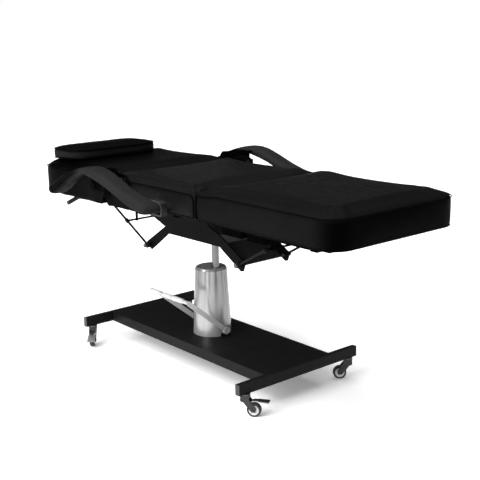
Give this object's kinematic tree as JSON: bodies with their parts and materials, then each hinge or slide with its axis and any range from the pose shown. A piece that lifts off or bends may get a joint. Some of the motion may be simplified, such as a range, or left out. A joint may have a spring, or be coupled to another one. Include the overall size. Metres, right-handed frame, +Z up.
{
  "type": "tattoo chair",
  "caption": "Flat three-section tattoo chair with folding back and leg rests, bent armrests and a pillow, on a foot-pumped lift column and a castor base.",
  "frame": {"origin": "on the floor, on the axis of the lift column, under the middle of the bed", "axes": "+X towards the foot end, +Y across the bed, +Z up"},
  "size_m": [1.815, 0.86, 0.8053],
  "materials": {
    "black_paint": "satin black powder coat",
    "chrome": "polished chrome plate",
    "pedal_rubber": "ribbed grey rubber",
    "cast_pump": "dark painted casting",
    "zinc_fasteners": "dark zinc plate",
    "black_upholstery": "black grained synthetic leather over foam",
    "plywood": "dark stained plywood",
    "tyre": "black wheel tread with a grey hub",
    "black_plastic": "black moulded nylon",
    "grey_plastic": "grey moulded grip"
  },
  "bodies": {
    "base": {"base_crossbars": "black_paint", "base_side_rails": "black_paint", "base_top_plate": "black_paint", "crossbar_end_caps": "black_plastic", "pump_body": "cast_pump", "pump_cover": "chrome", "pump_bolts": "zinc_fasteners", "castor_plates": "zinc_fasteners"},
    "pedal": {"pedal_shaft": "chrome", "pedal_arms": "chrome", "pedal_crossbar": "chrome", "pedal_pads": "pedal_rubber"},
    "lift": {"lift_tube": "chrome"},
    "seat": {"seat_hub": "black_paint", "seat_side_plates": "black_paint", "seat_strut_legs": "black_paint", "seat_front_sheet": "black_paint", "seat_cross_tubes": "black_paint", "seat_beams": "black_paint", "seat_board": "plywood", "seat_cushion": "black_upholstery", "seat_side_brackets": "black_paint", "leg_hinge_knuckles": "black_paint", "seat_pivot_bolts": "zinc_fasteners", "armrest_hooks": "black_paint"},
    "back": {"back_cross_tubes": "black_paint", "back_rails": "black_paint", "back_board": "plywood", "back_cushion": "black_upholstery", "back_side_brackets": "black_paint", "back_pivot_pins": "zinc_fasteners", "back_tie_rod": "black_paint"},
    "pillow": {"pillow": "black_upholstery"},
    "release": {"release_lever": "grey_plastic"},
    "leg": {"leg_cross_tubes": "black_paint", "leg_rails": "black_paint", "leg_board": "plywood", "leg_cushion": "black_upholstery", "leg_hinge_lugs": "black_paint", "leg_tie_rod": "black_paint"},
    "back_struts": {"back_strut_rods": "black_paint"},
    "leg_struts": {"leg_strut_rods": "black_paint"},
    "back_collars": {"back_strut_collars": "black_paint"},
    "leg_collars": {"leg_strut_collars": "black_paint"},
    "armrests": {"armrest_pads": "black_upholstery", "armrest_brackets": "black_paint", "armrest_pins": "zinc_fasteners"},
    "armrest_links": {"armrest_links": "black_paint"},
    "castor_front_near": {"castor_fork_front_near": "black_plastic"},
    "wheel_front_near": {"castor_wheel_front_near": "tyre"},
    "brake_front_near": {"castor_brake_front_near": "black_plastic"},
    "castor_front_far": {"castor_fork_front_far": "black_plastic"},
    "wheel_front_far": {"castor_wheel_front_far": "tyre"},
    "castor_rear_near": {"castor_fork_rear_near": "black_plastic"},
    "wheel_rear_near": {"castor_wheel_rear_near": "tyre"},
    "brake_rear_near": {"castor_brake_rear_near": "black_plastic"},
    "castor_rear_far": {"castor_fork_rear_far": "black_plastic"},
    "wheel_rear_far": {"castor_wheel_rear_far": "tyre"}
  },
  "joints": [
    {"name": "lift", "type": "slide", "parent": "base", "child": "lift", "axis": [0, 0, 1], "range_m": [-0.11, 0.05]},
    {"name": "seat_swivel", "type": "hinge", "parent": "lift", "child": "seat", "pos_m": [0, 0, 0.54], "axis": [0, 0, 1], "continuous": true},
    {"name": "foot_pedal", "type": "hinge", "parent": "base", "child": "pedal", "pos_m": [0, 0.004, 0.141], "axis": [1, 0, 0], "range_deg": [0, 25], "stiffness_Nm_per_rad": 12, "springref_deg": -28.65},
    {"name": "back_recline", "type": "hinge", "parent": "seat", "child": "back", "pos_m": [-0.214, 0, 0.74], "axis": [0, 1, 0], "range_deg": [0, 50]},
    {"name": "leg_drop", "type": "hinge", "parent": "seat", "child": "leg", "pos_m": [0.268, 0, 0.64], "axis": [0, 1, 0], "range_deg": [0, 35]},
    {"name": "back_strut_pivot", "type": "hinge", "parent": "seat", "child": "back_struts", "pos_m": [-0.285, 0, 0.44], "axis": [0, 1, 0], "range_deg": [0, 25]},
    {"name": "leg_strut_pivot", "type": "hinge", "parent": "seat", "child": "leg_struts", "pos_m": [0.275, 0, 0.465], "axis": [0, 1, 0], "range_deg": [0, 17.5]},
    {"name": "back_collar_pivot", "type": "hinge", "parent": "back", "child": "back_collars", "pos_m": [-0.426, 0, 0.516], "axis": [0, 1, 0], "range_deg": [-25, 0]},
    {"name": "leg_collar_pivot", "type": "hinge", "parent": "leg", "child": "leg_collars", "pos_m": [0.413, 0, 0.542], "axis": [0, 1, 0], "range_deg": [-17.5, 0]},
    {"name": "armrest_pivot", "type": "hinge", "parent": "back", "child": "armrests", "pos_m": [-0.33, 0, 0.7], "axis": [0, 1, 0], "range_deg": [-50, 0]},
    {"name": "armrest_link_pivot", "type": "hinge", "parent": "seat", "child": "armrest_links", "pos_m": [-0.144, 0, 0.74], "axis": [0, 1, 0], "range_deg": [0, 50]},
    {"name": "release_lever", "type": "hinge", "parent": "back", "child": "release", "pos_m": [-0.601, -0.165, 0.598], "axis": [-1, 0, 0], "range_deg": [0, 6], "stiffness_Nm_per_rad": 2, "springref_deg": -28.65},
    {"name": "pillow_slide", "type": "slide", "parent": "back", "child": "pillow", "axis": [1, 0, 0], "range_m": [-0.03, 0.12]},
    {"name": "castor_swivel_front_near", "type": "hinge", "parent": "base", "child": "castor_front_near", "pos_m": [0.458, -0.248, 0.07], "axis": [0, 0, 1], "continuous": true},
    {"name": "wheel_spin_front_near", "type": "hinge", "parent": "castor_front_near", "child": "wheel_front_near", "pos_m": [0.48164, -0.22953, 0.025], "axis": [-0.6157, 0.788, 0], "continuous": true},
    {"name": "brake_pedal_front_near", "type": "hinge", "parent": "castor_front_near", "child": "brake_front_near", "pos_m": [0.47061, -0.23815, 0.0534], "axis": [0.6157, -0.788, 0], "range_deg": [-18, 0]},
    {"name": "castor_swivel_front_far", "type": "hinge", "parent": "base", "child": "castor_front_far", "pos_m": [0.458, 0.248, 0.07], "axis": [0, 0, 1], "continuous": true},
    {"name": "wheel_spin_front_far", "type": "hinge", "parent": "castor_front_far", "child": "wheel_front_far", "pos_m": [0.43872, 0.22502, 0.025], "axis": [0.766, -0.6428, 0], "continuous": true},
    {"name": "castor_swivel_rear_near", "type": "hinge", "parent": "base", "child": "castor_rear_near", "pos_m": [-0.518, -0.248, 0.07], "axis": [0, 0, 1], "continuous": true},
    {"name": "wheel_spin_rear_near", "type": "hinge", "parent": "castor_rear_near", "child": "wheel_rear_near", "pos_m": [-0.49502, -0.26728, 0.025], "axis": [0.6428, 0.766, 0], "continuous": true},
    {"name": "brake_pedal_rear_near", "type": "hinge", "parent": "castor_rear_near", "child": "brake_rear_near", "pos_m": [-0.50574, -0.25828, 0.0534], "axis": [-0.6428, -0.766, 0], "range_deg": [0, 18]},
    {"name": "castor_swivel_rear_far", "type": "hinge", "parent": "base", "child": "castor_rear_far", "pos_m": [-0.518, 0.248, 0.07], "axis": [0, 0, 1], "continuous": true},
    {"name": "wheel_spin_rear_far", "type": "hinge", "parent": "castor_rear_far", "child": "wheel_rear_far", "pos_m": [-0.54398, 0.263, 0.025], "axis": [-0.5, -0.866, 0], "continuous": true}
  ],
  "couplings": [
    {"joint": "back_strut_pivot", "follows": "back_recline", "ratio": 0.5},
    {"joint": "back_collar_pivot", "follows": "back_recline", "ratio": -0.5},
    {"joint": "armrest_pivot", "follows": "back_recline", "ratio": -1},
    {"joint": "armrest_link_pivot", "follows": "back_recline", "ratio": 1},
    {"joint": "leg_strut_pivot", "follows": "leg_drop", "ratio": 0.5},
    {"joint": "leg_collar_pivot", "follows": "leg_drop", "ratio": -0.5}
  ]
}
